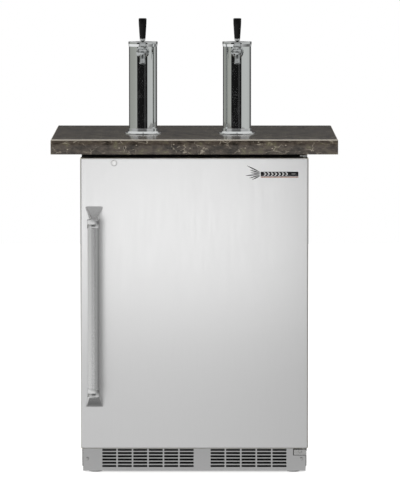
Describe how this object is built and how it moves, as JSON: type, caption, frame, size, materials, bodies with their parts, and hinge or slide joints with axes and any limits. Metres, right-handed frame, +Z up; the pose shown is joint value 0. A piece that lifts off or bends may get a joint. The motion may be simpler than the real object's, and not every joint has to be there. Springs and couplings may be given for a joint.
{
  "type": "kegerator",
  "caption": "Under-counter beer dispenser cabinet with a hinged steel door and draft towers on its counter slab.",
  "frame": {"origin": "on the floor, under the middle of the object's bounding box", "axes": "+Z up, -Y out of the door's front face, +X to the right seen from the front"},
  "size_m": [0.762, 0.694, 1.212],
  "materials": {
    "stainless": "brushed vertical grain",
    "polished_steel": "polished",
    "polished_chrome": "mirror polish",
    "black_enamel": "semi-gloss",
    "grey_enamel": "satin powder coat",
    "galvanised": "zinc coated sheet",
    "foam": "moulded polyurethane foam",
    "white_plastic": "vacuum formed",
    "black_plastic": "moulded",
    "aluminium": "satin",
    "copper": "drawn tube",
    "brass": "machined",
    "lamp_lens": "diffusing",
    "counter_stone": "polished dark stone with pale veins",
    "clear_hose": "clear vinyl",
    "tap_black": "moulded, semi-gloss",
    "gasket_rubber": "soft magnetic gasket",
    "leg_steel": "zinc plated"
  },
  "bodies": {
    "cabinet": {"outer_shell": "grey_enamel", "back_panel": "galvanised", "service_cover": "galvanised", "power_inlet": "black_plastic", "base_pan": "galvanised", "front_frame": "black_enamel", "cabinet_foam": "foam", "inner_liner": "white_plastic", "keg_floor_plate": "stainless", "evaporator_plate": "aluminium", "circulation_fan_frame": "black_plastic", "compressor": "black_enamel", "condenser_coil": "black_enamel", "condenser_fan_frame": "black_plastic", "condensate_pan": "black_plastic", "refrigerant_tubing": "copper", "control_housing": "white_plastic", "interior_lamp": "lamp_lens", "kick_grille": "stainless", "screws": "stainless", "hinge_brackets": "stainless", "lock_strike": "stainless", "line_conduits": "black_plastic", "counter_slab": "counter_stone", "tower_columns": "polished_chrome", "tower_caps": "polished_chrome", "tower_flanges": "polished_chrome", "shanks": "polished_chrome", "faucet_bodies": "polished_chrome", "coupling_nuts": "polished_chrome", "beer_lines": "clear_hose", "co2_cylinder": "aluminium", "cylinder_valve": "brass", "pressure_regulator": "brass", "pressure_gauges": "stainless"},
    "door": {"door_skin": "stainless", "door_foam": "foam", "door_liner": "white_plastic", "door_gasket": "gasket_rubber", "handle_bar": "polished_steel", "handle_brackets": "polished_steel", "lock_housing": "polished_chrome", "hinge_bushings": "black_plastic"},
    "lock_cam": {"lock_plug": "polished_chrome"},
    "lever_left": {"faucet_lever_left": "polished_chrome", "tap_handle_left": "tap_black"},
    "lever_right": {"faucet_lever_right": "polished_chrome", "tap_handle_right": "tap_black"},
    "plunger_left": {"faucet_plunger_left": "stainless"},
    "plunger_right": {"faucet_plunger_right": "stainless"},
    "condenser_fan": {"condenser_fan_blade": "aluminium"},
    "circulation_fan": {"circulation_fan_rotor": "black_plastic"},
    "button_down": {"temperature_button_down": "black_plastic"},
    "button_up": {"temperature_button_up": "black_plastic"},
    "cylinder_handwheel": {"valve_handwheel": "black_plastic"},
    "pressure_knob": {"regulator_knob": "black_plastic"},
    "leg_front_left": {"leveling_leg_front_left": "leg_steel"},
    "leg_front_right": {"leveling_leg_front_right": "leg_steel"},
    "leg_rear_left": {"leveling_leg_rear_left": "leg_steel"},
    "leg_rear_right": {"leveling_leg_rear_right": "leg_steel"}
  },
  "joints": [
    {"name": "door_hinge", "type": "hinge", "parent": "cabinet", "child": "door", "pos_m": [0.291, -0.262, 0.45], "axis": [0, 0, 1], "range_deg": [0, 112]},
    {"name": "lock_turn", "type": "hinge", "parent": "door", "child": "lock_cam", "pos_m": [-0.213, -0.241, 0.834], "axis": [0, 1, 0], "range_deg": [0, 90]},
    {"name": "tap_left", "type": "hinge", "parent": "cabinet", "child": "lever_left", "pos_m": [-0.139, -0.108, 1.139], "axis": [1, 0, 0], "range_deg": [0, 28]},
    {"name": "valve_left", "type": "slide", "parent": "cabinet", "child": "plunger_left", "axis": [0, 1, 0], "range_m": [0, 0.0092]},
    {"name": "tap_right", "type": "hinge", "parent": "cabinet", "child": "lever_right", "pos_m": [0.115, -0.108, 1.139], "axis": [1, 0, 0], "range_deg": [0, 28]},
    {"name": "valve_right", "type": "slide", "parent": "cabinet", "child": "plunger_right", "axis": [0, 1, 0], "range_m": [0, 0.0092]},
    {"name": "condenser_fan_spin", "type": "hinge", "parent": "cabinet", "child": "condenser_fan", "pos_m": [-0.172, 0.241, 0.0995], "axis": [1, 0, 0], "continuous": true},
    {"name": "circulation_fan_spin", "type": "hinge", "parent": "cabinet", "child": "circulation_fan", "pos_m": [-0.06, 0.289, 0.73], "axis": [0, -1, 0], "continuous": true},
    {"name": "press_down", "type": "slide", "parent": "cabinet", "child": "button_down", "axis": [0, 1, 0], "range_m": [0, 0.0015], "stiffness_N_per_m": 300, "springref_m": -0.0015},
    {"name": "press_up", "type": "slide", "parent": "cabinet", "child": "button_up", "axis": [0, 1, 0], "range_m": [0, 0.0015], "stiffness_N_per_m": 300, "springref_m": -0.0015},
    {"name": "handwheel_turn", "type": "hinge", "parent": "cabinet", "child": "cylinder_handwheel", "pos_m": [-0.17, 0.2145, 0.7005], "axis": [0, 0, 1], "range_deg": [0, 540]},
    {"name": "knob_turn", "type": "hinge", "parent": "cabinet", "child": "pressure_knob", "pos_m": [-0.17, 0.1335, 0.6775], "axis": [0, -1, 0], "range_deg": [0, 720]},
    {"name": "level_front_left", "type": "slide", "parent": "cabinet", "child": "leg_front_left", "axis": [0, 0, -1], "range_m": [0, 0.02]},
    {"name": "level_front_right", "type": "slide", "parent": "cabinet", "child": "leg_front_right", "axis": [0, 0, -1], "range_m": [0, 0.02]},
    {"name": "level_rear_left", "type": "slide", "parent": "cabinet", "child": "leg_rear_left", "axis": [0, 0, -1], "range_m": [0, 0.02]},
    {"name": "level_rear_right", "type": "slide", "parent": "cabinet", "child": "leg_rear_right", "axis": [0, 0, -1], "range_m": [0, 0.02]}
  ],
  "couplings": [
    {"joint": "valve_left", "follows": "tap_left", "m_per_rad": 0.0183},
    {"joint": "valve_right", "follows": "tap_right", "m_per_rad": 0.0183}
  ]
}
